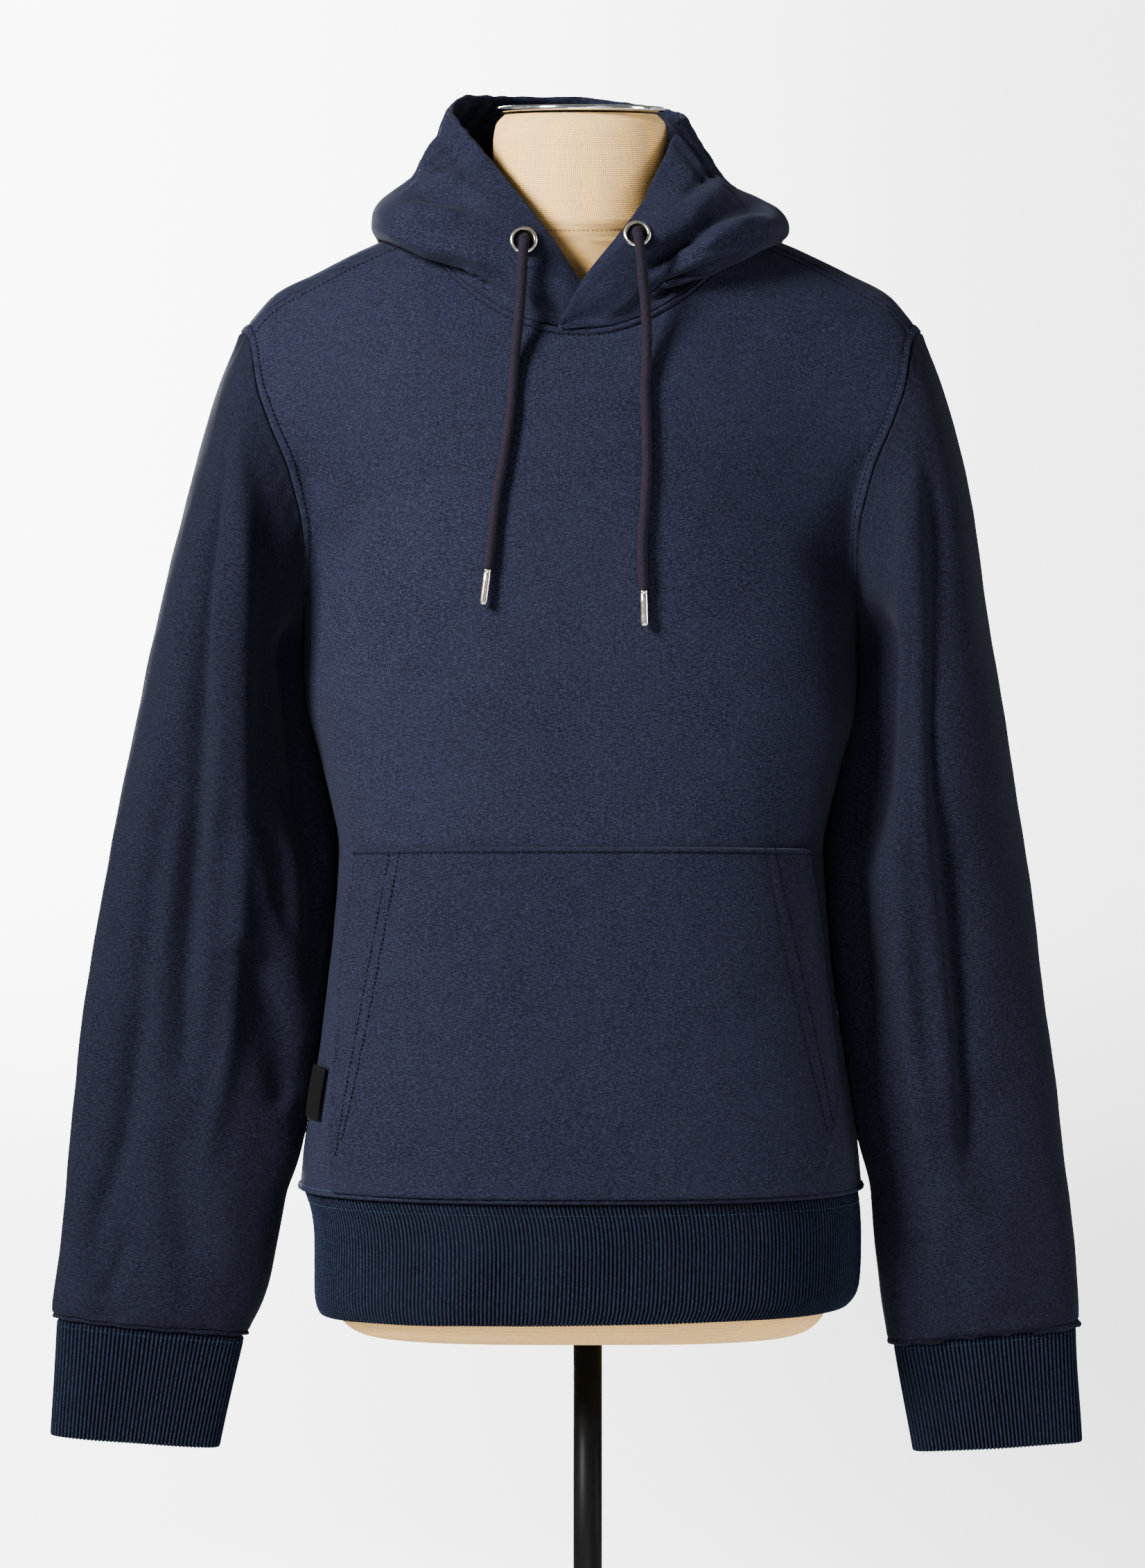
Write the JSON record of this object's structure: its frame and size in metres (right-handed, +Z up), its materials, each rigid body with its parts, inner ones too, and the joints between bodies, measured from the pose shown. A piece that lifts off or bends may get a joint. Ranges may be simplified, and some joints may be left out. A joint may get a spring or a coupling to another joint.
{
  "type": "pullover hoodie on a dress form",
  "caption": "Long-sleeved pullover hoodie with a kangaroo pocket and ribbed hem and cuffs, worn on a limbless dress form with a round base.",
  "frame": {"origin": "centre of the round base's underside, on the pole's axis", "axes": "+Z up along the pole, the garment faces -Y, +X towards the wearer's left arm"},
  "size_m": [0.6776, 0.38, 1.4865],
  "materials": {
    "jersey": "brushed matt navy jersey",
    "ribbing": "matt navy rib knit",
    "linen": "unbleached plain-weave linen",
    "nickel": "satin nickel, lightly worn",
    "cord": "braided dark purple-navy cord",
    "label": "black woven tape",
    "enamel": "satin near-black paint"
  },
  "bodies": {
    "root": {"front_panel": "jersey", "back_panel": "jersey", "sleeve_left": "jersey", "sleeve_right": "jersey", "hood_left": "jersey", "hood_right": "jersey", "pocket": "jersey", "waistband": "ribbing", "cuff_left": "ribbing", "cuff_right": "ribbing", "eyelet_left": "nickel", "eyelet_right": "nickel", "cord_left": "cord", "cord_right": "cord", "cord_tip_left": "nickel", "cord_tip_right": "nickel", "side_label": "label", "form_torso": "linen", "neck_disc": "nickel", "pole": "enamel", "base": "enamel"}
  },
  "joints": []
}
